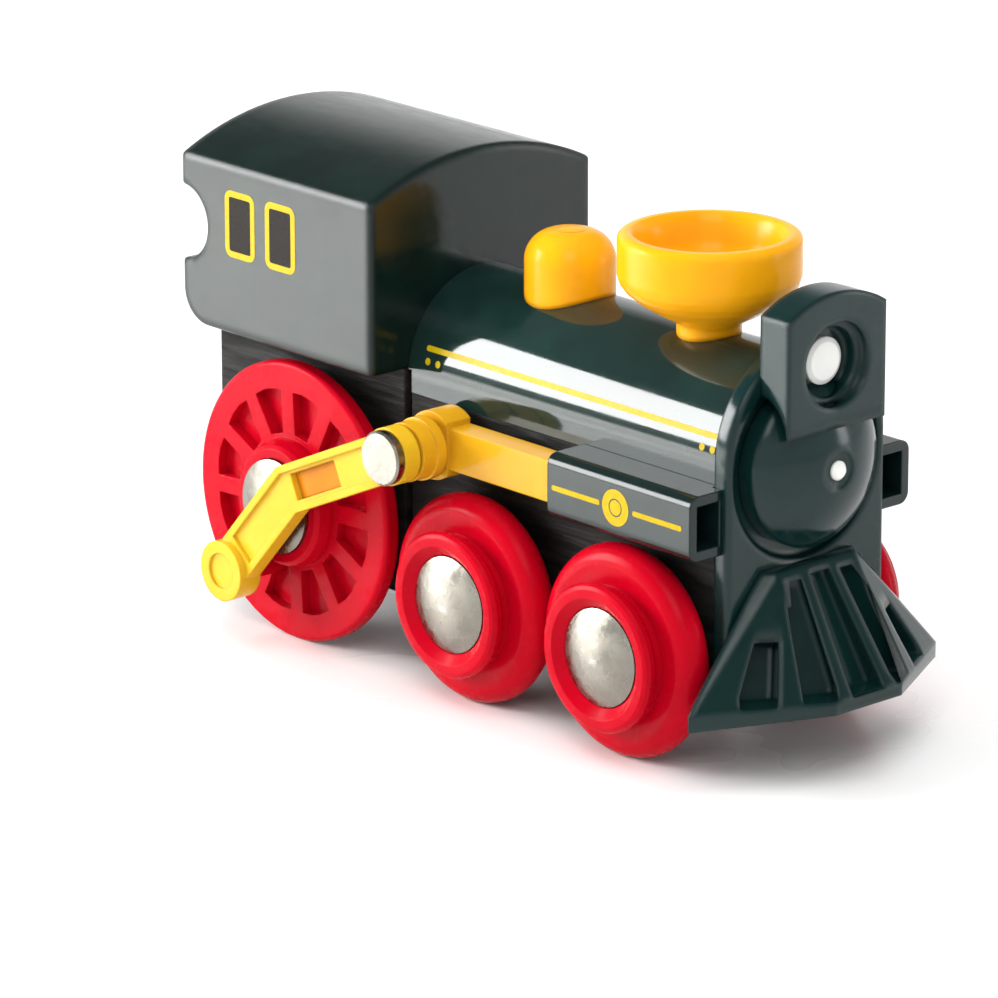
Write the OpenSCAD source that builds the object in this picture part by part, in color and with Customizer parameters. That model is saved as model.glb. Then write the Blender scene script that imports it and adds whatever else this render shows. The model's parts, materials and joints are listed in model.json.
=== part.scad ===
// Wooden push-along steam locomotive with turning wheels, swinging rods and sliding piston bars.
// Millimetres. +X forward, +Y to the locomotive's left, +Z up.
// Origin: centre of the footprint, on the floor line under the wheels.

/* [Chassis] */
// Rear end of the chassis and cab along X
rear_x = -38.2; // [-39:0.1:-37.5]
// Back of the front plate along X
nose_x = 31.1; // [30.9:0.1:31.3]
// Width of the wooden chassis block
chassis_w = 18.6; // [17.5:0.1:18.8]
// Underside of the chassis above the floor
chassis_z0 = 6.4; // [5:0.1:7.5]
// Top of the chassis below the boiler
chassis_z1 = 26.6; // [26.2:0.1:27]

/* [Cab] */
// Front face of the cab along X
cab_front_x = -10.7; // [-11:0.1:-10.4]
// Width of the cab block
cab_w = 27.8; // [27:0.1:28.2]
// Underside of the cab
cab_z0 = 28.8; // [28.4:0.1:29.2]
// Height of the eaves
cab_z1 = 45.4; // [44.5:0.1:46.5]
// Rise of the arched roof above the eaves
roof_rise = 3.35; // [2:0.1:5]
// Radius of the finger groove in the rear edge
groove_r = 3.6; // [3:0.1:4.2]

/* [Boiler] */
// Radius of the boiler barrel
boiler_r = 9.3; // [9:0.1:9.4]
// Height of the boiler centre line
boiler_z = 28.1; // [27.9:0.05:28.3]

/* [Front] */
// Half width of the front plate
plate_hw = 9.9; // [9.6:0.1:10.1]
// Height of the centre of the plate's arch
plate_arch_z = 29.2; // [28.8:0.1:29.6]
// Radius of the smokebox door
door_r = 7.8; // [7.2:0.1:8]
// How far the door stands out of the plate
door_rise = 4.2; // [3.8:0.1:4.6]
// Half width of the headlamp housing
lamp_hw = 6.1; // [5.6:0.1:6.4]
// Half width of the cowcatcher across its tips
cow_hw = 15.8; // [14:0.1:16.2]
// Front edge of the cowcatcher along X
cow_x = 41.3; // [40.5:0.1:42]

/* [Dome and funnel] */
// Radius of the steam dome
dome_r = 4.3; // [4:0.1:4.6]
// Top of the steam dome
dome_top = 43.3; // [42.5:0.1:45]
// Outer radius of the funnel cup
cup_r = 8.45; // [7.8:0.05:8.8]
// Top of the funnel rim
cup_top = 46.6; // [45.9:0.1:47.5]

/* [Wheels] */
// Radius of the front and middle wheels
small_r = 10; // [9.8:0.05:10.05]
// Radius of the rear wheels
big_r = 13.7; // [13.5:0.1:13.8]
// Front axle position along X
front_x = 22.4; // [22.3:0.05:22.5]
// Middle axle position along X
middle_x = 1.9; // [1.8:0.05:2]
// Rear axle position along X
back_x = -23.15; // [-23.3:0.05:-23]
// Axle diameter
axle_d = 3; // [2.5:0.1:3.4]
// Running clearance round axles and pins
run_gap = 0.05; // [0.03:0.01:0.09]
// Radius of the metal hub caps
cap_r = 4.6; // [4.3:0.05:4.65]

/* [Rods] */
// Distance of the crank pin from the rear axle
crank_r = 7.2; // [6.8:0.1:7.2]
// Direction of the crank pin behind and below the axle, in degrees
crank_a = 62.5; // [60:0.5:64]
// Crosshead pin position along X
cross_x = -2.95; // [-3.1:0.05:-2.8]
// Crosshead pin height
cross_z = 23.9; // [23.8:0.05:24]
// Width of the connecting rod
rod_w = 4.7; // [4.2:0.1:5]
// Length of the piston bar ahead of its pin
bar_l = 20; // [18.5:0.1:21]

/* [Hidden] */
$fn = 96;
eps = 0.02;
cab_hw = cab_w / 2;
ch_hw = chassis_w / 2;
roof_r = (cab_hw * cab_hw + roof_rise * roof_rise) / (2 * roof_rise);
corner_r = 3.4;
groove_z = 38.65;
plate_t = 2;
plate_x = nose_x + plate_t;
plate_z0 = 6.6;
door_z = 27.8;
door_lip = 1;
door_recess = 1;
door_base_x = plate_x - door_recess;
door_top_x = plate_x + door_rise;
door_h = door_rise - door_lip;
door_sphere = (door_r * door_r + door_h * door_h) / (2 * door_h);
ring_r = 9;
knob_r = 0.9;
lamp_x1 = 36.7;
cow_tip_z = 5.9;
cow_nose_z = 6.65;
cow_nose_hw = 4.2;
lamp_z0 = 31.65;
lamp_z1 = 42.5;
lamp_rise = 1.8;
lamp_cz = 37.6;
lamp_arch_r = (lamp_hw * lamp_hw + lamp_rise * lamp_rise) / (2 * lamp_rise);
lens_x0 = 34.36;
lens_r = 2.2;
dome_x = 1.6;
crown_r = 2.9;
crown = 0.15;
cup_x = 20.25;
peg_r = 2;
peg_z = 32;
bore_r = axle_d / 2 + run_gap;
hub_y0 = 9.8;
tread_y = 12.15;
tread_r = 1.8;
web_y0 = 11.4;
web_y1 = 13.2;
rim_r = 0.5;
spoke_phase = 18;
lip_y = 16.25;
seat_y = 14.7;
cap_edge = 0.8;
cap_rise = 0.85;
cyl_x0 = 13.6;
cyl_x1 = 32.3;
cyl_y0 = ch_hw;
cyl_y1 = 13.85;
cyl_z0 = 20.85;
cyl_z1 = 26.95;
cyl_wall = 0.9;
cyl_edge = 1.1;
bar_gap = 0.08;
bar_y0 = cyl_y0 + cyl_wall + bar_gap;
bar_y1 = cyl_y1 - cyl_wall - bar_gap;
bar_h = 4;
slot_h = bar_h + 2 * bar_gap;
crank_x = back_x - crank_r * cos(crank_a);
crank_z = big_r - crank_r * sin(crank_a);
rod_y0 = 17;
rod_y1 = 18.75;
knee_x = -17.5;
crank_boss_r = 2.95;
knee_z = 17.35;
boss_y1 = 16.65;
eye_reach = 2.1;
crank_pin_r = 1.5;
cross_pin_r = 1.3;
mag_z = 12.2;
seam_x0 = -11.15;
seam_x1 = -10.2;
seam_d = 1.2;

// Lays a shape drawn along +Z out along -Y (right side of the locomotive).
module to_right() {
  rotate([90, 0, 0])
    children();
}

// Mirrors the right-hand shape to the left side.
module to_left() {
  mirror([0, 1, 0])
    children();
}

// Straight bar with an outline in the X-Z plane, from y0 to y1 on the right side.
module slab(y0, y1) {
  translate([0, -y0, 0])
    rotate([90, 0, 0])
      linear_extrude(height = y1 - y0)
        children();
}

// Disc or pin lying across the locomotive on the right side.
module cross_cyl(x, z, y0, y1, r) {
  translate([x, -y0, z])
    rotate([90, 0, 0])
      cylinder(r = r, h = y1 - y0);
}

module axle_bore(x, z) {
  translate([x, ch_hw + 1, z])
    rotate([90, 0, 0])
      cylinder(r = bore_r, h = chassis_w + 2);
}

// Upright seam on both sides, between the block under the cab and the boiler's block.
module side_seam() {
  for (s = [0, 1])
    mirror([0, s, 0])
      translate([seam_x0, ch_hw - seam_d, chassis_z0 - 1])
        cube([seam_x1 - seam_x0, seam_d + 1, cab_z0 - chassis_z0 + 1]);
}

module chassis() {
  color([0.08, 0.09, 0.09])
    difference() {
      union() {
        translate([rear_x, -ch_hw, chassis_z0])
          cube([nose_x - rear_x, chassis_w, chassis_z1 - chassis_z0]);
        translate([rear_x, -ch_hw, chassis_z0])
          cube([cab_front_x - rear_x, chassis_w, cab_z0 - chassis_z0]);
      }
      axle_bore(back_x, big_r);
      axle_bore(middle_x, small_r);
      axle_bore(front_x, small_r);
      side_seam();
      translate([rear_x - 1, 0, mag_z])
        rotate([0, 90, 0])
          cylinder(r = 1.2, h = 9);
    }
}

module cab_outline() {
  difference() {
    translate([-cab_hw, cab_z0])
      square([cab_w, cab_z1 + roof_rise - cab_z0]);
    difference() {
      translate([-cab_hw - 1, cab_z1])
        square([cab_w + 2, roof_rise + 1]);
      translate([0, cab_z1 + roof_rise - roof_r])
        circle(r = roof_r, $fn = 240);
    }
  }
}

module cab() {
  color([0.22, 0.25, 0.25])
    difference() {
      translate([rear_x, 0, 0])
        rotate([90, 0, 90])
          linear_extrude(height = cab_front_x - rear_x)
            cab_outline();
      cross_cyl(rear_x, groove_z, -cab_hw - 1, cab_hw + 1, groove_r);
      difference() {
        translate([rear_x - 1, -cab_hw - 1, cab_z0 - 1])
          cube([corner_r + 1, cab_w + 2, corner_r + 1]);
        cross_cyl(rear_x + corner_r, cab_z0 + corner_r, -cab_hw - 2, cab_hw + 2, corner_r);
      }
    }
}

// Barrel with straight lower flanks, standing on the chassis.
module boiler_solid(grow) {
  translate([cab_front_x, 0, boiler_z])
    rotate([0, 90, 0])
      cylinder(r = boiler_r + grow, h = nose_x - cab_front_x, $fn = 180);
  translate([cab_front_x, -boiler_r - grow, chassis_z1])
    cube([nose_x - cab_front_x, 2 * (boiler_r + grow), boiler_z - chassis_z1]);
}

module boiler() {
  color([0.2, 0.23, 0.23])
    difference() {
      boiler_solid(0);
      side_seam();
      translate([cab_front_x - 1, -boiler_r - 1, boiler_z - boiler_r - 1])
        cube([nose_x - cab_front_x + 2, 2 * boiler_r + 2, chassis_z1 - boiler_z + boiler_r + 1]);
      translate([dome_x, 0, peg_z])
        cylinder(r = peg_r, h = 10);
      translate([cup_x, 0, peg_z])
        cylinder(r = peg_r, h = 10);
    }
}

module front_plate() {
  color([0.21, 0.24, 0.24])
    difference() {
      union() {
        translate([nose_x, -plate_hw, plate_z0])
          cube([plate_t, 2 * plate_hw, plate_arch_z - plate_z0]);
        translate([nose_x, 0, plate_arch_z])
          rotate([0, 90, 0])
            cylinder(r = plate_hw, h = plate_t, $fn = 180);
      }
      translate([door_base_x, 0, door_z])
        rotate([0, 90, 0])
          cylinder(r = ring_r, h = plate_t);
    }
}

// Door disc with an upright lip and a domed face, along +X.
module door_solid(grow) {
  translate([door_base_x, 0, door_z])
    rotate([0, 90, 0])
      rotate_extrude($fn = 180)
        union() {
          square([door_r + grow, door_recess + door_lip + grow]);
          intersection() {
            translate([0, door_recess + door_rise - door_sphere])
              circle(r = door_sphere + grow, $fn = 360);
            translate([0, door_recess])
              square([door_r + grow, door_rise + 1]);
          }
        }
}

module smokebox_door() {
  color([0.21, 0.24, 0.24])
    difference() {
      door_solid(0);
      translate([door_top_x - 0.35, 0, door_z])
        rotate([0, 90, 0])
          cylinder(r = 1.75, h = 2);
      translate([door_top_x - 2, 0, door_z])
        rotate([0, 90, 0])
          cylinder(r = knob_r, h = 4);
    }
}

module door_knob() {
  color([0.93, 0.94, 0.92])
    translate([door_top_x - 2, 0, door_z])
      rotate([0, 90, 0]) {
        cylinder(r = knob_r, h = 1.8);
        translate([0, 0, 1.8])
          cylinder(r1 = knob_r, r2 = knob_r - 0.25, h = 0.25);
      }
}

module lamp_outline() {
  difference() {
    translate([-lamp_hw, lamp_z0])
      square([2 * lamp_hw, lamp_z1 + lamp_rise - lamp_z0]);
    difference() {
      translate([-lamp_hw - 1, lamp_z1])
        square([2 * lamp_hw + 2, lamp_rise + 1]);
      translate([0, lamp_z1 + lamp_rise - lamp_arch_r])
        circle(r = lamp_arch_r, $fn = 180);
    }
  }
}

module headlamp_housing() {
  color([0.21, 0.24, 0.24])
    difference() {
      translate([plate_x, 0, 0])
        rotate([90, 0, 90])
          linear_extrude(height = lamp_x1 - plate_x)
            lamp_outline();
      cross_cyl(plate_x - 0.3, lamp_z0 - 0.1, -lamp_hw - 1, lamp_hw + 1, 3.7);
      door_solid(0.06);
      translate([lamp_x1 - 0.9, 0, lamp_cz])
        rotate([0, 90, 0])
          cylinder(r = 4, h = 2);
      translate([lens_x0, 0, lamp_cz])
        rotate([0, 90, 0])
          cylinder(r = 3.3, h = 5);
    }
}

module headlamp_lens() {
  color([0.95, 0.95, 0.93])
    translate([lens_x0, 0, lamp_cz])
      rotate([0, 90, 0]) {
        cylinder(r = lens_r, h = 0.6);
        translate([0, 0, 0.6])
          cylinder(r1 = lens_r, r2 = lens_r - 0.45, h = 0.25);
      }
}

// Slot cutter that runs down a sloping face of the cowcatcher, turned to face outward.
module cow_slot(xt, yt, zt, wt, xb, yb, zb, wb, yaw) {
  hull() {
    translate([xt, yt, zt])
      rotate([0, 0, yaw])
        cube([1.4, wt, 0.8], center = true);
    translate([xb, yb, zb])
      rotate([0, 0, yaw])
        cube([4.2, wb, 1], center = true);
  }
}

module cow_solid() {
  hull() {
    translate([0, 0, cow_tip_z])
      linear_extrude(height = 1.5)
        polygon([
          [plate_x, -cow_hw + 1.2], [plate_x + 1.2, -cow_hw], [plate_x + 1.2, cow_hw], [plate_x, cow_hw - 1.2]
        ]);
    translate([0, 0, cow_nose_z])
      linear_extrude(height = 1.1)
        polygon([
          [cow_x - 1, -cow_nose_hw - 0.6], [cow_x, -cow_nose_hw], [cow_x, cow_nose_hw], [cow_x - 1, cow_nose_hw + 0.6]
        ]);
    translate([0, 0, 17.8])
      linear_extrude(height = 0.8)
        polygon([[plate_x, -5.9], [plate_x + 1.2, -5], [plate_x + 1.2, 5], [plate_x, 5.9]]);
  }
}

module cowcatcher() {
  color([0.21, 0.24, 0.24])
    difference() {
      cow_solid();
      cow_slot(plate_x + 1.5, 0.1, 17.4, 2.4, cow_x - 0.3, 0.1, 8.4, 3.9, 0);
      for (s = [-1, 1]) {
        cow_slot(plate_x + 1.4, s * 3.3, 17.2, 1.9, cow_x - 1.3, s * 4.9, 8.4, 3.2, s * 32);
        cow_slot(plate_x + 1.2, s * 6.2, 14.2, 1.7, cow_x - 4.3, s * 9.8, 8.2, 3.4, s * 32);
      }
    }
}

// Cross-section of the cylinder box, with its two outer edges rounded.
module cylinder_outline() {
  translate([-cyl_y1, cyl_z0 + cyl_edge])
    square([cyl_y1 - cyl_y0, cyl_z1 - cyl_z0 - 2 * cyl_edge]);
  translate([-cyl_y1 + cyl_edge, cyl_z0])
    square([cyl_y1 - cyl_y0 - cyl_edge, cyl_z1 - cyl_z0]);
  for (z = [cyl_z0 + cyl_edge, cyl_z1 - cyl_edge])
    translate([-cyl_y1 + cyl_edge, z])
      circle(r = cyl_edge);
}

// Open box that guides the piston bar; its front end is notched round the front plate.
module cylinder_box() {
  color([0.2, 0.22, 0.22])
    difference() {
      translate([cyl_x0, 0, 0])
        rotate([90, 0, 90])
          linear_extrude(height = cyl_x1 - cyl_x0)
            cylinder_outline();
      translate([cyl_x0 - 1, -cyl_y1 + cyl_wall, cross_z - slot_h / 2])
        cube([cyl_x1 - cyl_x0 + 2, cyl_y1 - cyl_y0 - 2 * cyl_wall, slot_h]);
      translate([nose_x, -plate_hw, cyl_z0 - 1])
        cube([cyl_x1 - nose_x + 1, plate_hw - cyl_y0 + 1, cyl_z1 - cyl_z0 + 2]);
    }
}

module cylinder_right() {
  cylinder_box();
}

module cylinder_left() {
  to_left()
    cylinder_box();
}

module saddle_cut() {
  translate([cab_front_x - 1, 0, boiler_z])
    rotate([0, 90, 0])
      cylinder(r = boiler_r, h = nose_x - cab_front_x + 2, $fn = 180);
}

module dome() {
  color([0.98, 0.7, 0.1]) {
    difference() {
      translate([dome_x, 0, 0])
        rotate_extrude($fn = 120)
          intersection() {
            union() {
              translate([0, 34])
                square([dome_r, dome_top - crown_r - crown - 34]);
              translate([0, 34])
                square([dome_r - crown_r, dome_top - crown - 34]);
              translate([dome_r - crown_r, dome_top - crown_r - crown])
                circle(r = crown_r);
              intersection() {
                translate([0, dome_top - 9])
                  circle(r = 9, $fn = 240);
                translate([0, dome_top - 1])
                  square([dome_r - crown_r, 1]);
              }
            }
            square([dome_r + 1, 60]);
          }
      saddle_cut();
    }
    translate([dome_x, 0, peg_z + 0.2])
      cylinder(r = peg_r, h = 6);
  }
}

module funnel() {
  color([0.98, 0.7, 0.1]) {
    difference() {
      translate([cup_x, 0, 0])
        rotate_extrude($fn = 160)
          difference() {
            union() {
              polygon([
                [0, 34], [3, 34], [3, 38.1], [3.5, 38.5], [5, 39.3], [6.6, 40.3], [7.7, 41.2], [8.2, 41.9],
                [cup_r, 42.7], [cup_r, cup_top - 0.7], [0, cup_top - 0.7]
              ]);
              translate([cup_r - 0.7, cup_top - 0.7])
                circle(r = 0.7);
              translate([0, cup_top - 1])
                square([cup_r - 0.7, 1]);
            }
            polygon([
              [0, 42], [2.5, 42.05], [4.4, 42.4], [5.6, 43], [6.2, 43.9], [6.5, 45], [6.75, 45.8],
              [7.2, cup_top + 0.1], [0, cup_top + 0.1]
            ]);
          }
      saddle_cut();
    }
    translate([cup_x, 0, peg_z + 0.2])
      cylinder(r = peg_r, h = 6);
  }
}

// Rear coupling: plastic cup, disc magnet and the pin that holds them.
module coupling_cup() {
  color([0.07, 0.07, 0.07])
    translate([rear_x, 0, mag_z])
      rotate([0, -90, 0])
        difference() {
          cylinder(r = 4.9, h = 2.2);
          translate([0, 0, 0.9])
            cylinder(r = 4.2, h = 3);
          translate([0, 0, -1])
            cylinder(r = 1.2, h = 4);
        }
}

module coupling_magnet() {
  color([0.62, 0.63, 0.64])
    translate([rear_x - 0.9, 0, mag_z])
      rotate([0, -90, 0])
        difference() {
          cylinder(r = 4.15, h = 2.2);
          translate([0, 0, -1])
            cylinder(r = 1.2, h = 4);
          translate([0, 0, 1.2])
            cylinder(r = 2.2, h = 2);
        }
}

module coupling_pin() {
  color([0.75, 0.75, 0.76])
    translate([rear_x, 0, mag_z])
      rotate([0, -90, 0]) {
        translate([0, 0, -7.5])
          cylinder(r = 1.2, h = 9.6);
        translate([0, 0, 2.1])
          cylinder(r1 = 2.1, r2 = 1.5, h = 0.7);
      }
}

// Wheelset pieces, drawn along +Z as the outward direction of the right side.
module axle(x, z) {
  color([0.72, 0.72, 0.73])
    translate([x, seat_y, z])
      rotate([90, 0, 0])
        cylinder(r = axle_d / 2, h = 2 * seat_y);
}

module small_wheel_body() {
  difference() {
    rotate_extrude($fn = 160)
      union() {
        translate([0, tread_y - tread_r])
          square([small_r - tread_r, 2 * tread_r]);
        translate([small_r - tread_r, tread_y])
          circle(r = tread_r);
        translate([0, hub_y0])
          square([3.4, 2]);
        polygon([
          [0, 12], [7.2, 12], [6.4, 13.8], [6.35, 14.5], [6.9, 15.1], [7, 15.7], [6.8, 16.1],
          [6.45, lip_y], [0, lip_y]
        ]);
      }
    translate([0, 0, seat_y])
      cylinder(r = cap_r + 0.1, h = 3);
    translate([0, 0, lip_y - 0.8])
      cylinder(r1 = cap_r + 0.1, r2 = cap_r + 1.1, h = 0.8 + eps);
    translate([0, 0, hub_y0 - 1])
      cylinder(r = axle_d / 2, h = 8);
    translate([0, 0, tread_y - tread_r - eps])
      difference() {
        cylinder(r = small_r - 2.4, h = 1.2);
        cylinder(r = 3.4, h = 1.2);
      }
  }
}

module cap_body() {
  translate([0, 0, seat_y])
    cylinder(r = cap_r, h = cap_edge);
  intersection() {
    translate([0, 0, seat_y + cap_edge + cap_rise - (cap_r * cap_r + cap_rise * cap_rise) / (2 * cap_rise)])
      sphere(r = (cap_r * cap_r + cap_rise * cap_rise) / (2 * cap_rise), $fn = 180);
    translate([0, 0, seat_y + cap_edge / 2])
      cylinder(r = cap_r, h = 3);
  }
}

module big_wheel_body() {
  inner_a = 15 - asin(0.85 / 6.7);
  outer_a = 15 - asin(0.85 / 10.9);
  difference() {
    rotate_extrude($fn = 200)
      union() {
        translate([0, web_y0 + rim_r])
          square([big_r, web_y1 - web_y0 - 2 * rim_r]);
        translate([0, web_y0])
          square([big_r - rim_r, web_y1 - web_y0]);
        translate([big_r - rim_r, web_y0 + rim_r])
          circle(r = rim_r);
        translate([big_r - rim_r, web_y1 - rim_r])
          circle(r = rim_r);
        translate([0, hub_y0])
          square([4.2, 2]);
        polygon([[0, 12.5], [6.3, 12.5], [6.2, 13.8], [5.9, 14.8], [5.5, 15.15], [0, 15.15]]);
      }
    for (i = [0 : 11])
      rotate([0, 0, i * 30 + spoke_phase])
        translate([0, 0, 12.1])
          linear_extrude(height = 3)
            polygon([
              [6.75 * cos(inner_a), -6.75 * sin(inner_a)], [10.9 * cos(outer_a), -10.9 * sin(outer_a)],
              [10.9 * cos(outer_a / 3) + 0.15, -10.9 * sin(outer_a / 3)],
              [10.9 * cos(outer_a / 3) + 0.15, 10.9 * sin(outer_a / 3)],
              [10.9 * cos(outer_a), 10.9 * sin(outer_a)], [6.75 * cos(inner_a), 6.75 * sin(inner_a)]
            ]);
    translate([0, 0, seat_y - 0.01])
      cylinder(r = cap_r + 0.05, h = 3);
    translate([0, 0, hub_y0 - 1])
      cylinder(r = axle_d / 2, h = 8);
    rotate([0, 0, 180 + crank_a])
      translate([crank_r, 0, 9])
        cylinder(r = crank_pin_r, h = 6);
  }
}

// Moves a right-side wheel piece to its axle.
module at_axle(x, z) {
  translate([x, 0, z])
    to_right()
      children();
}

module red() {
  color([0.85, 0.07, 0.12])
    children();
}

module nickel() {
  color([0.8, 0.79, 0.76])
    children();
}

module rear_axle() {
  axle(back_x, big_r);
}

module rear_wheel_right() {
  red()
    at_axle(back_x, big_r)
      big_wheel_body();
}

module rear_wheel_left() {
  to_left()
    rear_wheel_right();
}

module rear_cap_right() {
  nickel()
    at_axle(back_x, big_r)
      cap_body();
}

module rear_cap_left() {
  to_left()
    rear_cap_right();
}

module crank_pin_right() {
  red()
    cross_cyl(crank_x, crank_z, web_y0, 18.3, crank_pin_r);
}

module crank_pin_left() {
  to_left()
    crank_pin_right();
}

module middle_axle() {
  axle(middle_x, small_r);
}

module middle_wheel_right() {
  red()
    at_axle(middle_x, small_r)
      small_wheel_body();
}

module middle_wheel_left() {
  to_left()
    middle_wheel_right();
}

module middle_cap_right() {
  nickel()
    at_axle(middle_x, small_r)
      cap_body();
}

module middle_cap_left() {
  to_left()
    middle_cap_right();
}

module front_axle() {
  axle(front_x, small_r);
}

module front_wheel_right() {
  red()
    at_axle(front_x, small_r)
      small_wheel_body();
}

module front_wheel_left() {
  to_left()
    front_wheel_right();
}

module front_cap_right() {
  nickel()
    at_axle(front_x, small_r)
      cap_body();
}

module front_cap_left() {
  to_left()
    front_cap_right();
}

// Dog-leg rod outline between the crosshead pin, the knee and the crank pin.
function unit2(v) = v / norm(v);
function left2(v) = [-v[1], v[0]];
cross_p = [cross_x, cross_z];
knee_p = [knee_x, knee_z];
crank_p = [crank_x, crank_z];
leg_a = unit2(knee_p - cross_p);
leg_b = unit2(crank_p - knee_p);
mitre = unit2(left2(leg_a) + left2(leg_b)) / cos(acos(leg_a * leg_b) / 2);

module rod_outline(h, a0, b1) {
  polygon([
    cross_p + leg_a * a0 + left2(leg_a) * h, knee_p + mitre * h, crank_p - leg_b * b1 + left2(leg_b) * h,
    crank_p - leg_b * b1 - left2(leg_b) * h, knee_p - mitre * h, cross_p + leg_a * a0 - left2(leg_a) * h
  ]);
}

module rod() {
  color([1, 0.78, 0.2])
    difference() {
      union() {
        slab(rod_y0, rod_y1)
          rod_outline(rod_w / 2, 0, 0);
        cross_cyl(cross_x, cross_z, rod_y0, rod_y1, 2.75);
        cross_cyl(crank_x, crank_z, rod_y0 - 0.1, 19.4, crank_boss_r);
      }
      slab(rod_y1 - 0.35, rod_y1 + 1)
        difference() {
          rod_outline(rod_w / 2 - 0.75, 3.2, 3.4);
          translate([crank_x, crank_z])
            circle(r = crank_boss_r);
        }
      slab(rod_y1 - 1, rod_y1 + 1)
        polygon([
          knee_p - leg_a * 0.9 + left2(leg_a) * (rod_w / 2 - 1.05),
          knee_p - leg_a * 7.8 + left2(leg_a) * (rod_w / 2 - 1.05),
          knee_p - leg_a * 7.8 - left2(leg_a) * (rod_w / 2 - 1.05),
          knee_p - leg_a * 0.9 - left2(leg_a) * (rod_w / 2 - 1.05)
        ]);
      cross_cyl(cross_x, cross_z, rod_y0 - 1, rod_y1 + 1, cross_pin_r);
      cross_cyl(crank_x, crank_z, rod_y0 - 1, 18.4, crank_pin_r + run_gap);
      cross_cyl(crank_x, crank_z, 19.15, 20, 1.75);
    }
}

module connecting_rod_right() {
  rod();
}

module connecting_rod_left() {
  to_left()
    rod();
}

module cross_pin() {
  color([0.8, 0.79, 0.76]) {
    cross_cyl(cross_x, cross_z, rod_y0 + 0.05, 18.8, cross_pin_r);
    cross_cyl(cross_x, cross_z, rod_y1, 19.5, 2.6);
    translate([cross_x, -19.5, cross_z])
      rotate([90, 0, 0])
        cylinder(r1 = 2.6, r2 = 2.4, h = 0.2);
  }
}

module crosshead_pin_right() {
  cross_pin();
}

module crosshead_pin_left() {
  to_left()
    cross_pin();
}

// Piston bar with the ringed boss that faces the connecting rod.
module piston() {
  color([1, 0.72, 0.12])
    difference() {
      union() {
        translate([cross_x, -bar_y1, cross_z - bar_h / 2])
          cube([bar_l, bar_y1 - bar_y0, bar_h]);
        intersection() {
          cross_cyl(cross_x, cross_z, bar_y0, bar_y1 + 0.35, 3.3);
          translate([cross_x - 4, -bar_y1 - 1, cross_z - 4])
            cube([4 + eye_reach, 5, 8]);
        }
        cross_cyl(cross_x, cross_z, bar_y1, 14, eye_reach);
        cross_cyl(cross_x, cross_z, 13.95, 15, 3);
        cross_cyl(cross_x, cross_z, 15, boss_y1, 2.8);
      }
      cross_cyl(cross_x, cross_z, 13.5, boss_y1 + 1, cross_pin_r + run_gap);
    }
}

module piston_right() {
  piston();
}

module piston_left() {
  to_left()
    piston();
}

chassis();
cab();
boiler();
front_plate();
smokebox_door();
door_knob();
headlamp_housing();
headlamp_lens();
cowcatcher();
cylinder_right();
cylinder_left();
dome();
funnel();
coupling_cup();
coupling_magnet();
coupling_pin();
rear_axle();
rear_wheel_right();
rear_wheel_left();
rear_cap_right();
rear_cap_left();
crank_pin_right();
crank_pin_left();
middle_axle();
middle_wheel_right();
middle_wheel_left();
middle_cap_right();
middle_cap_left();
front_axle();
front_wheel_right();
front_wheel_left();
front_cap_right();
front_cap_left();
connecting_rod_right();
connecting_rod_left();
crosshead_pin_right();
crosshead_pin_left();
piston_right();
piston_left();
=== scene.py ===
"""Wooden push-along steam locomotive: lacquered wood, glossy mouldings and pressed nickel caps."""
import json
import math

import bmesh
import bpy
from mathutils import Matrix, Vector


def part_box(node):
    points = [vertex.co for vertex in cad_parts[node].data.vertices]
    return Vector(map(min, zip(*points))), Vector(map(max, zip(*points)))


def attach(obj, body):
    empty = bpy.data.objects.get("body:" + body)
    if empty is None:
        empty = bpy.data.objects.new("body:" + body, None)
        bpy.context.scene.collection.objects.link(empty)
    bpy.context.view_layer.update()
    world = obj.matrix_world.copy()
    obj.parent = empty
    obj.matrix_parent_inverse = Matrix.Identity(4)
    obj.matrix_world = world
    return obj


MM = 0.001
SIDES = {"right": -1, "left": 1}

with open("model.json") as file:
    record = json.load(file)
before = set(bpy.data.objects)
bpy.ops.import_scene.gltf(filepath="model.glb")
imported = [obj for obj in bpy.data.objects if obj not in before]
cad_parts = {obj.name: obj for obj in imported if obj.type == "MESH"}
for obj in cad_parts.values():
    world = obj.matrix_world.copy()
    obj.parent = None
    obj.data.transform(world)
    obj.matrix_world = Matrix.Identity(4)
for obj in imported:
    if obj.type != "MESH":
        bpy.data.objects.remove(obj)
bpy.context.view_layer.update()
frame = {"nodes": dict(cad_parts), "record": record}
nodes = frame["nodes"]


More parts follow.
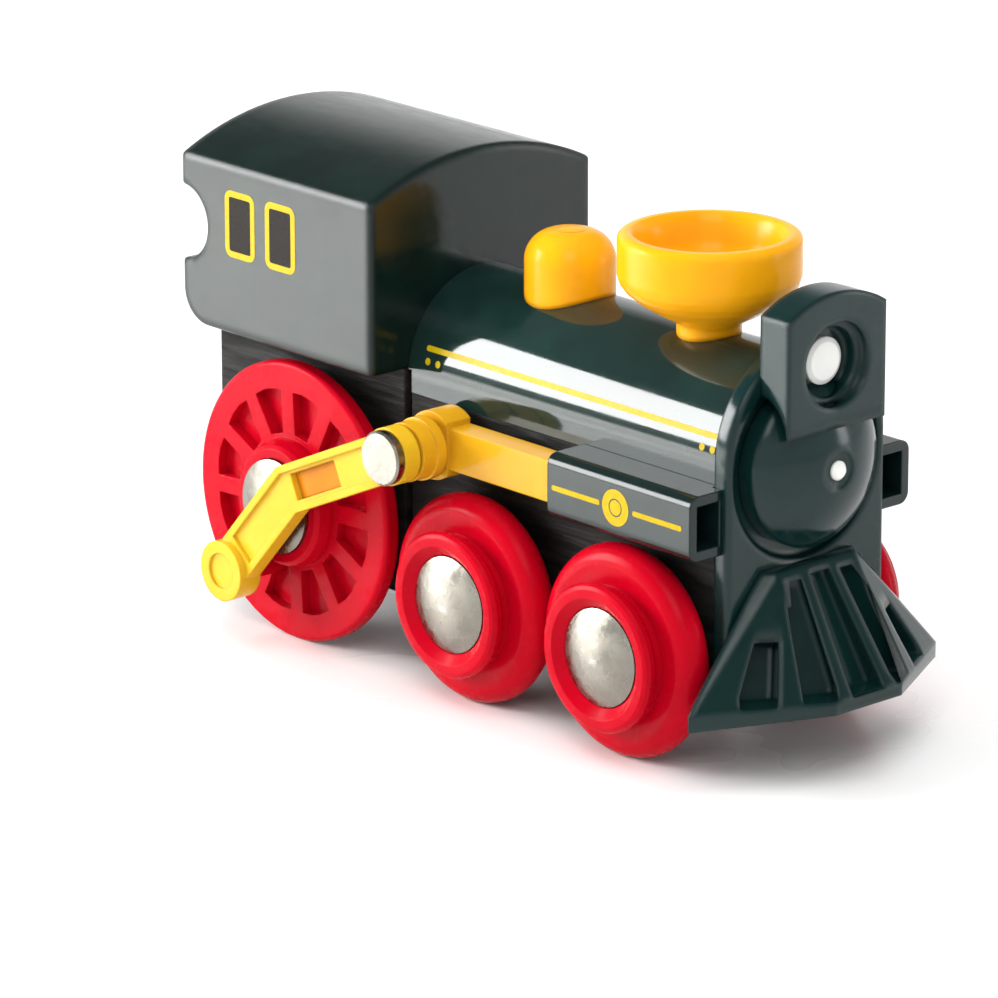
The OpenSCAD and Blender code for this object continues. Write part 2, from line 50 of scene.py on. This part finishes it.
# ---------------------------------------------------------------- materials
class Shader:
    """A Principled material whose detail is built from nodes in object space."""

    def __init__(self, name, **constants):
        self.material = bpy.data.materials.new(name)
        self.material.use_nodes = True
        self.tree = self.material.node_tree
        self.bsdf = self.tree.nodes["Principled BSDF"]
        for socket, value in constants.items():
            self.bsdf.inputs[socket.replace("_", " ")].default_value = value
        self.coords = self.tree.nodes.new("ShaderNodeTexCoord").outputs["Object"]
        self.normal = None

    def round_edges(self, radius_mm):
        """Softens the shading across edges by this radius; relief added later sits on top."""
        node = self.tree.nodes.new("ShaderNodeBevel")
        node.samples = 6
        node.inputs["Radius"].default_value = radius_mm * MM
        self.normal = node.outputs["Normal"]

    def link(self, out, socket):
        self.tree.links.new(out, socket)

    def stretched(self, scale):
        """Object coordinates in millimetres, scaled per axis."""
        mapping = self.tree.nodes.new("ShaderNodeMapping")
        mapping.inputs["Scale"].default_value = [1000 * s for s in scale]
        self.link(self.coords, mapping.inputs["Vector"])
        return mapping.outputs["Vector"]

    def noise(self, size_mm, detail=3.0, rough=0.5, axes=(1, 1, 1), distortion=0.0):
        """Noise whose features are about size_mm across; axes below 1 stretch it along that axis."""
        tex = self.tree.nodes.new("ShaderNodeTexNoise")
        tex.inputs["Scale"].default_value = 1
        tex.inputs["Detail"].default_value = detail
        tex.inputs["Roughness"].default_value = rough
        tex.inputs["Distortion"].default_value = distortion
        self.link(self.stretched([a / size_mm for a in axes]), tex.inputs["Vector"])
        return tex.outputs["Fac"]

    def scratches(self, size_mm, axes):
        """Cell distances, for pores and fine marks."""
        tex = self.tree.nodes.new("ShaderNodeTexVoronoi")
        tex.inputs["Scale"].default_value = 1
        self.link(self.stretched([a / size_mm for a in axes]), tex.inputs["Vector"])
        return tex.outputs["Distance"]

    def ramp(self, value, low, high, start=0.35, end=0.65):
        """Maps value from start..end to low..high."""
        node = self.tree.nodes.new("ShaderNodeMapRange")
        node.inputs["From Min"].default_value = start
        node.inputs["From Max"].default_value = end
        node.inputs["To Min"].default_value = low
        node.inputs["To Max"].default_value = high
        self.link(value, node.inputs["Value"])
        return node.outputs["Result"]

    def blend_colours(self, value, first, second, start=0.35, end=0.65):
        """Drives Base Color between two colours."""
        node = self.tree.nodes.new("ShaderNodeMix")
        node.data_type = "RGBA"
        node.inputs["A"].default_value = (*first, 1)
        node.inputs["B"].default_value = (*second, 1)
        self.link(self.ramp(value, 0, 1, start, end), node.inputs["Factor"])
        self.link(node.outputs["Result"], self.bsdf.inputs["Base Color"])

    def roughness(self, value, low, high, start=0.35, end=0.65):
        """Drives Roughness from low to high."""
        self.link(self.ramp(value, low, high, start, end), self.bsdf.inputs["Roughness"])

    def bump(self, height, depth_mm):
        """Adds one layer of relief of about depth_mm."""
        node = self.tree.nodes.new("ShaderNodeBump")
        node.inputs["Strength"].default_value = 1
        node.inputs["Distance"].default_value = depth_mm * MM
        self.link(height, node.inputs["Height"])
        if self.normal is not None:
            self.link(self.normal, node.inputs["Normal"])
        self.normal = node.outputs["Normal"]
        self.link(self.normal, self.bsdf.inputs["Normal"])


def shade(colour, factor):
    """The colour made lighter or darker."""
    return tuple(c * factor for c in colour)


def lacquer(name, colour, edge, gloss, level, peel, grain):
    """Gloss lacquer over wood: orange peel and a trace of the grain below."""
    s = Shader(name, Specular_IOR_Level=level)
    s.round_edges(edge)
    s.blend_colours(s.noise(5, detail=4), shade(colour, 0.85), shade(colour, 1.2))
    s.roughness(s.noise(1.1, detail=5, axes=(0.35, 1, 1)), *gloss)
    s.bump(s.noise(1.8, detail=3), peel)
    s.bump(s.noise(0.7, detail=4, axes=(0.12, 1, 1)), grain)
    return s.material


def stained_wood():
    """Matt black stain on the chassis block, with open grain along its length."""
    s = Shader("chassis_wood", Specular_IOR_Level=0.14)
    s.round_edges(0.5)
    s.blend_colours(s.noise(1.6, detail=6, axes=(0.1, 1, 1)), (0.004, 0.004, 0.004), (0.02, 0.019, 0.018))
    s.roughness(s.noise(0.6, detail=6, axes=(0.15, 1, 1)), 0.42, 0.7)
    s.bump(s.noise(0.9, detail=6, rough=0.65, axes=(0.08, 1, 1)), 0.16)
    s.bump(s.scratches(0.5, (0.12, 1, 1)), 0.05)
    return s.material


def moulding(name, colour, edge=0.2, gloss=(0.12, 0.22), level=0.5, peel=0.004):
    """Injection-moulded plastic: even colour with faint flow marks and a fine skin."""
    s = Shader(name, Specular_IOR_Level=level)
    s.round_edges(edge)
    s.blend_colours(s.noise(7, detail=3, distortion=0.6), shade(colour, 0.93), shade(colour, 1.06))
    s.roughness(s.noise(1.4, detail=5), *gloss)
    s.bump(s.noise(2.8, detail=2), peel)
    s.bump(s.noise(0.25, detail=3), peel * 0.12)
    return s.material


def metal(name, colour, gloss, marks_mm, relief, axes=(1, 1, 1)):
    """Plated or drawn metal with smears and small dents."""
    s = Shader(name, Metallic=1.0)
    s.blend_colours(s.noise(marks_mm * 2, detail=4), shade(colour, 0.82), colour)
    s.roughness(s.noise(marks_mm, detail=6, axes=axes), *gloss)
    s.bump(s.noise(marks_mm, detail=3, axes=axes), relief)
    s.bump(s.noise(0.3, detail=4, axes=axes), relief * 0.2)
    return s.material


def ink(name, colour, level):
    """Pad-printed ink, slightly uneven and less glossy than what it sits on."""
    s = Shader(name, Specular_IOR_Level=level)
    s.blend_colours(s.noise(0.8, detail=5), shade(colour, 0.9), colour)
    s.roughness(s.noise(0.5, detail=5), 0.25, 0.38)
    s.bump(s.noise(0.3, detail=3), 0.002)
    return s.material


MATERIALS = {
    "chassis_wood": stained_wood(),
    "cab_paint": lacquer(
        "cab_paint", (0.003, 0.011, 0.009), 1.2, gloss=(0.12, 0.2), level=0.34, peel=0.009, grain=0.003
    ),
    "boiler_paint": lacquer(
        "boiler_paint", (0.007, 0.022, 0.019), 0.15, gloss=(0.05, 0.09), level=0.5, peel=0.003, grain=0.001
    ),
    "front_plastic": moulding(
        "front_plastic", (0.003, 0.019, 0.018), edge=0.75, gloss=(0.12, 0.18), level=0.32
    ),
    "white_plastic": moulding("white_plastic", (0.8, 0.8, 0.77)),
    "cylinder_plastic": moulding(
        "cylinder_plastic", (0.004, 0.014, 0.013), edge=0.25, gloss=(0.1, 0.16), level=0.34
    ),
    "yellow_plastic": moulding(
        "yellow_plastic", (0.88, 0.38, 0.006), edge=0.8, gloss=(0.16, 0.26), level=0.12
    ),
    "cup_plastic": moulding("cup_plastic", (0.012, 0.012, 0.012), gloss=(0.3, 0.45)),
    "magnet": metal("magnet", (0.6, 0.6, 0.61), (0.22, 0.38), 1.4, 0.004),
    "steel": metal("steel", (0.62, 0.62, 0.63), (0.2, 0.38), 0.6, 0.004, axes=(1, 0.1, 1)),
    "red_plastic": moulding(
        "red_plastic", (0.46, 0.001, 0.011), gloss=(0.2, 0.3), level=0.05, peel=0.005
    ),
    "nickel": metal("nickel", (0.27, 0.255, 0.22), (0.2, 0.34), 1.3, 0.05),
    "rod_plastic": moulding(
        "rod_plastic", (0.68, 0.42, 0.018), edge=0.25, gloss=(0.18, 0.28), level=0.15
    ),
    "piston_plastic": moulding(
        "piston_plastic", (0.66, 0.34, 0.012), edge=0.25, gloss=(0.16, 0.26), level=0.15
    ),
}
# painted shade: a darker, deeper orange for the thin floor of each rod's pocket, standing in for light
# through the thin plastic
POCKET_SHADE_PLASTIC = moulding("pocket_shade_plastic", (0.58, 0.2, 0.008), gloss=(0.25, 0.35), level=0.1)
YELLOW_INK = ink("yellow_ink", (0.52, 0.37, 0.004), 0.12)
BLACK_INK = ink("black_ink", (0.012, 0.009, 0.007), 0.06)


# ---------------------------------------------------------------- CAD nodes
def dress(name, material):
    """Puts a material on every slot of a carried-over CAD node."""
    obj = nodes[name]
    for slot in obj.material_slots:
        slot.material = material


WELD_GAP = 0.002 * MM
FLAT_ANGLE = math.radians(0.4)
SHARP_ANGLE = math.radians(32)


def soften(name, width_mm):
    """Rounds a CAD node's sharp edges by width_mm, once the lines inside its flat faces are gone."""
    obj = nodes[name]
    weld = obj.modifiers.new("join", "WELD")
    weld.merge_threshold = WELD_GAP
    flat = obj.modifiers.new("flats", "DECIMATE")
    flat.decimate_type = "DISSOLVE"
    flat.angle_limit = FLAT_ANGLE
    bevel = obj.modifiers.new("edges", "BEVEL")
    bevel.limit_method = "ANGLE"
    bevel.angle_limit = SHARP_ANGLE
    bevel.width = width_mm * MM
    bevel.segments = 3
    bevel.use_clamp_overlap = True
    bevel.miter_outer = "MITER_ARC"
    shading = obj.modifiers.new("shading", "WEIGHTED_NORMAL")
    shading.keep_sharp = True
    shading.weight = 90


# how far the edges of each softened node are rounded; every other node keeps its own mesh
EDGE_MM = {
    "chassis": 0.6, "cab": 0.75, "boiler": 0.12, "front_plate": 0.4, "smokebox_door": 0.3,
    "headlamp_housing": 0.45, "cowcatcher": 0.28, "coupling_cup": 0.2, "coupling_magnet": 0.15,
}
slot_of = {s["node"]: s["material_slot"] for s in frame["record"]["subparts"]}
for node_name in nodes:
    dress(node_name, MATERIALS[slot_of[node_name]])
for node_name, edge_mm in EDGE_MM.items():
    soften(node_name, edge_mm)


# ---------------------------------------------------------------- printed marks
def new_piece(name, bm, material, body):
    """Turns a bmesh into a named piece that rides on a body."""
    bmesh.ops.recalc_face_normals(bm, faces=bm.faces)
    mesh = bpy.data.meshes.new(name)
    bm.to_mesh(mesh)
    bm.free()
    mesh.materials.append(material)
    obj = bpy.data.objects.new(name, mesh)
    bpy.context.scene.collection.objects.link(obj)
    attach(obj, body)


def rounded_rectangle(cx, cz, width, height, radius, steps=8):
    """Points round a rectangle with arc corners, in the X-Z plane."""
    points = []
    for quarter in range(4):
        sx = 1 if quarter in (0, 3) else -1
        sz = 1 if quarter in (0, 1) else -1
        for k in range(steps + 1):
            a = math.radians(90 * quarter + 90 * k / steps)
            points.append((
                cx + sx * (width / 2 - radius) + radius * math.cos(a),
                cz + sz * (height / 2 - radius) + radius * math.sin(a),
            ))
    return points


def circle(cx, cz, radius, steps=64):
    """Points round a circle in the X-Z plane."""
    turn = [2 * math.pi * k / steps for k in range(steps)]
    return [(cx + radius * math.cos(a), cz + radius * math.sin(a)) for a in turn]


def film(bm, outer, inner, place, thickness):
    """Adds a thin printed film between two outlines of equal length, or a filled one when inner is None."""
    count = len(outer)
    low = [bm.verts.new(place(x, z, 0)) for x, z in outer]
    top = [bm.verts.new(place(x, z, thickness)) for x, z in outer]
    for k in range(count):
        n = (k + 1) % count
        bm.faces.new((low[k], low[n], top[n], top[k]))
    if inner is None:
        bm.faces.new(top)
        bm.faces.new(low[::-1])
        return
    low_in = [bm.verts.new(place(x, z, 0)) for x, z in inner]
    top_in = [bm.verts.new(place(x, z, thickness)) for x, z in inner]
    for k in range(count):
        n = (k + 1) % count
        bm.faces.new((top[k], top[n], top_in[n], top_in[k]))
        bm.faces.new((low[n], low[k], low_in[k], low_in[n]))
        bm.faces.new((low_in[n], low_in[k], top_in[k], top_in[n]))


def flat_side(side, y):
    """Placing function for a film on a flat side face at distance y from the centre plane."""
    return lambda x, z, t: Vector((x, side * (y + t), z))


FILM = 0.03 * MM
PANE_FILM = 0.7 * FILM

# two dark windows with yellow frames on each side of the cab, each placed by its distance from the rear
cab_low, cab_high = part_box("cab")
WINDOW_W = 4.35 * MM
WINDOW_H = 6.55 * MM
WINDOW_Z = cab_low.z + 10.95 * MM
WINDOW_LINE = 0.62 * MM
WINDOW_CORNER = 0.9 * MM
PANE_CORNER = 0.25 * MM
WINDOWS_FROM_REAR = (8.65 * MM, 14.55 * MM)


def print_windows(side_name, side):
    """The cab's windows on one side."""
    place = flat_side(side, cab_high.y)
    pane_w = WINDOW_W - 2 * WINDOW_LINE
    pane_h = WINDOW_H - 2 * WINDOW_LINE
    for number, from_rear in enumerate(WINDOWS_FROM_REAR, start=1):
        cx = cab_low.x + from_rear
        outer = rounded_rectangle(cx, WINDOW_Z, WINDOW_W, WINDOW_H, WINDOW_CORNER)
        inner = rounded_rectangle(cx, WINDOW_Z, pane_w, pane_h, PANE_CORNER)
        bm = bmesh.new()
        film(bm, outer, inner, place, FILM)
        new_piece(f"window_frame_{side_name}_{number}", bm, YELLOW_INK, "frame")
        bm = bmesh.new()
        film(bm, inner, None, place, PANE_FILM)
        new_piece(f"window_pane_{side_name}_{number}", bm, BLACK_INK, "frame")


# the boiler's stripe follows the barrel, and two small dots sit below each of its ends
boiler_low, boiler_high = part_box("boiler")
BARREL_R = boiler_high.y
BARREL_Z = boiler_high.z - BARREL_R
STRIPE_X0 = boiler_low.x + 2.1 * MM
STRIPE_X1 = boiler_high.x - 0.5 * MM
STRIPE_Z = BARREL_Z + 3.15 * MM
STRIPE_H = 0.52 * MM
STRIPE_CORNER = 0.25 * MM
DOT_Z = BARREL_Z + 1.95 * MM
DOT_R = 0.34 * MM
DOTS_FROM_REAR_END = (0.5 * MM, 1.9 * MM)
DOTS_FROM_FRONT_END = (1.75 * MM, 0.4 * MM)


def barrel_side(side):
    """Placing function for a film on the barrel: z picks the height on it."""
    def place(x, z, t):
        a = math.asin((z - BARREL_Z) / BARREL_R)
        r = BARREL_R + t
        return Vector((x, side * r * math.cos(a), BARREL_Z + r * math.sin(a)))
    return place


def print_stripe(side_name, side):
    """The boiler's stripe and dots on one side."""
    place = barrel_side(side)
    middle = (STRIPE_X0 + STRIPE_X1) / 2
    stripe = rounded_rectangle(middle, STRIPE_Z, STRIPE_X1 - STRIPE_X0, STRIPE_H, STRIPE_CORNER)
    dots = [STRIPE_X0 + d for d in DOTS_FROM_REAR_END] + [STRIPE_X1 - d for d in DOTS_FROM_FRONT_END]
    bm = bmesh.new()
    film(bm, stripe, None, place, FILM)
    for x in dots:
        film(bm, circle(x, DOT_Z, DOT_R, steps=24), None, place, FILM)
    new_piece(f"boiler_stripe_{side_name}", bm, YELLOW_INK, "frame")


# a ring round a dot, between two bars, on each cylinder's face; places are from its rear end
RING_X = 9.05 * MM
RING_R = 1.72 * MM
RING_HOLE_R = 0.86 * MM
RING_DOT_R = 0.72 * MM
BARS = ((0.6 * MM, 6.95 * MM), (11.3 * MM, 17.65 * MM))
BAR_H = 0.5 * MM
BAR_CORNER = 0.22 * MM


def print_cylinder(side_name, side):
    """The marks on one cylinder's outer face."""
    low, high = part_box(f"cylinder_{side_name}")
    face_y = high.y if side > 0 else -low.y
    mid_z = (low.z + high.z) / 2
    ring_x = low.x + RING_X
    place = flat_side(side, face_y)
    bm = bmesh.new()
    film(bm, circle(ring_x, mid_z, RING_R), circle(ring_x, mid_z, RING_HOLE_R), place, FILM)
    film(bm, circle(ring_x, mid_z, RING_DOT_R), None, place, FILM)
    for start, end in BARS:
        bar = rounded_rectangle(low.x + (start + end) / 2, mid_z, end - start, BAR_H, BAR_CORNER)
        film(bm, bar, None, place, FILM)
    new_piece(f"cylinder_mark_{side_name}", bm, YELLOW_INK, "frame")


# the pocket in each rod's upper leg has a thin floor; its deeper, darker orange is painted shade for how
# light passes through the thin plastic
CROSSHEAD = Vector((-2.95, 0, 23.9)) * MM
KNEE = Vector((-17.5, 0, 17.35)) * MM
POCKET_Y = 17.75 * MM
POCKET_START = 0.95 * MM
POCKET_END = 7.75 * MM
POCKET_HALF_H = 1.25 * MM


def paint_pocket_shade(side_name, side):
    """Painted shade on the floor of the pocket in one rod, measured from the knee towards the crosshead."""
    along = (CROSSHEAD - KNEE).normalized()
    across = Vector((-along.z, 0, along.x)) * POCKET_HALF_H
    start = KNEE + along * POCKET_START
    end = KNEE + along * POCKET_END
    corners = (start - across, end - across, end + across, start + across)
    bm = bmesh.new()
    # this film is painted shade, not a colour of the rod's plastic
    film(bm, [(c.x, c.z) for c in corners], None, flat_side(side, POCKET_Y), FILM)
    new_piece(f"rod_pocket_shade_{side_name}", bm, POCKET_SHADE_PLASTIC, f"rod_{side_name}")


for side_name, side in SIDES.items():
    print_windows(side_name, side)
for side_name, side in SIDES.items():
    print_stripe(side_name, side)
    print_cylinder(side_name, side)
for side_name, side in SIDES.items():
    paint_pocket_shade(side_name, side)


# ---------------------------------------------------------------- stage
FLOOR_RADIUS = 2.5


def floor_material():
    """White glossy card."""
    s = Shader("floor", Specular_IOR_Level=0.35)
    s.bsdf.inputs["Base Color"].default_value = (0.9, 0.9, 0.895, 1)
    s.roughness(s.noise(30, detail=3), 0.24, 0.3)
    return s.material


def make_floor():
    """A round floor under the locomotive, for the renders only."""
    bm = bmesh.new()
    bmesh.ops.create_circle(bm, cap_ends=True, radius=FLOOR_RADIUS, segments=96)
    mesh = bpy.data.meshes.new("floor")
    bm.to_mesh(mesh)
    bm.free()
    mesh.materials.append(floor_material())
    floor = bpy.data.objects.new("floor", mesh)
    bpy.context.scene.collection.objects.link(floor)


def from_angles(azimuth, elevation, distance):
    """A point at that direction from the locomotive, where azimuth 0 is ahead of it and 90 to its left."""
    a = math.radians(azimuth)
    e = math.radians(elevation)
    return Vector((math.cos(a) * math.cos(e), math.sin(a) * math.cos(e), math.sin(e))) * distance


AIM = Vector((0, 0, 22 * MM))


def area_light(name, place, aim, width, height, radiance, in_gloss=True, colour=(1, 1, 1)):
    """A rectangular light that camera rays never see; radiance is how bright its reflection is."""
    light = bpy.data.lights.new(name, "AREA")
    light.shape = "RECTANGLE"
    light.size = width
    light.size_y = height
    light.energy = radiance * math.pi * width * height
    light.color = colour
    obj = bpy.data.objects.new(name, light)
    obj.location = place
    obj.rotation_euler = (place - aim).to_track_quat("Z", "Y").to_euler()
    obj.visible_camera = False
    obj.visible_glossy = in_gloss
    bpy.context.scene.collection.objects.link(obj)


def softbox(name, azimuth, elevation, distance, width, height, radiance, in_gloss=True):
    """An area light that faces the locomotive from a direction."""
    place = AIM + from_angles(azimuth, elevation, distance)
    area_light(name, place, AIM, width, height, radiance, in_gloss)


def make_world():
    """White up to a little above the horizon, dark grey overhead."""
    world = bpy.data.worlds.new("studio")
    world.use_nodes = True
    bpy.context.scene.world = world
    tree = world.node_tree
    coords = tree.nodes.new("ShaderNodeTexCoord")
    split = tree.nodes.new("ShaderNodeSeparateXYZ")
    ramp = tree.nodes.new("ShaderNodeValToRGB")
    tree.links.new(coords.outputs["Generated"], split.inputs["Vector"])
    tree.links.new(split.outputs["Z"], ramp.inputs["Fac"])
    tree.links.new(ramp.outputs["Color"], tree.nodes["Background"].inputs["Color"])
    stops = ramp.color_ramp.elements
    stops[0].position = 0.0
    stops[0].color = (1.0, 1.0, 1.0, 1)
    stops[1].position = 1.0
    stops[1].color = (0.25, 0.25, 0.25, 1)
    for position, grey in ((0.3, 1.0), (0.52, 0.2)):
        stops.new(position).color = (grey, grey, grey, 1)
    tree.nodes["Background"].inputs["Strength"].default_value = 1.0


make_floor()
make_world()
softbox("key", azimuth=-140, elevation=17, distance=0.42, width=0.2, height=0.2, radiance=18)
softbox("rim", azimuth=48, elevation=8, distance=0.6, width=0.12, height=0.18, radiance=5)
softbox("fill", azimuth=-45, elevation=42, distance=0.8, width=0.4, height=0.4, radiance=4)
softbox("top", azimuth=180, elevation=89, distance=1.0, width=1.3, height=1.3, radiance=2.2, in_gloss=False)


PATCH_HEIGHT_MM = 1
PATCH_COLOUR = (1, 0.985, 0.94)


def floor_patch(name, x_mm, y_mm, radiance):
    """A brightly lit piece of floor that the right side mirrors: a light that faces down."""
    place = Vector((sum(x_mm) / 2, sum(y_mm) / 2, PATCH_HEIGHT_MM)) * MM
    width = (x_mm[1] - x_mm[0]) * MM
    height = (y_mm[1] - y_mm[0]) * MM
    below = place - Vector((0, 0, 1))
    area_light(name, place, below, width, height, radiance, colour=PATCH_COLOUR)


floor_patch("patch_far", (-260, -85), (-214, -64), 2.5)
floor_patch("patch_near", (-85, -10), (-134, -64), 1.0)
floor_patch("patch_bright", (-85, -42), (-92, -70), 4.2)
floor_patch("patch_beyond", (-420, -60), (-420, -135), 3.5)


def make_camera():
    """Camera at the reference angle: a long lens from the front right, a little above."""
    camera = bpy.data.cameras.new("camera")
    camera.sensor_width = 36
    camera.lens = 231.1
    camera.shift_x = -0.0328
    camera.shift_y = -0.0945
    obj = bpy.data.objects.new("camera", camera)
    target = Vector((-3.7, 0, 25)) * MM
    obj.location = target + from_angles(47.66 - 90, 16.56, 0.60256)
    obj.rotation_euler = (obj.location - target).to_track_quat("Z", "Y").to_euler()
    bpy.context.scene.collection.objects.link(obj)
    bpy.context.scene.camera = obj


make_camera()
bpy.context.scene.view_settings.view_transform = "Standard"
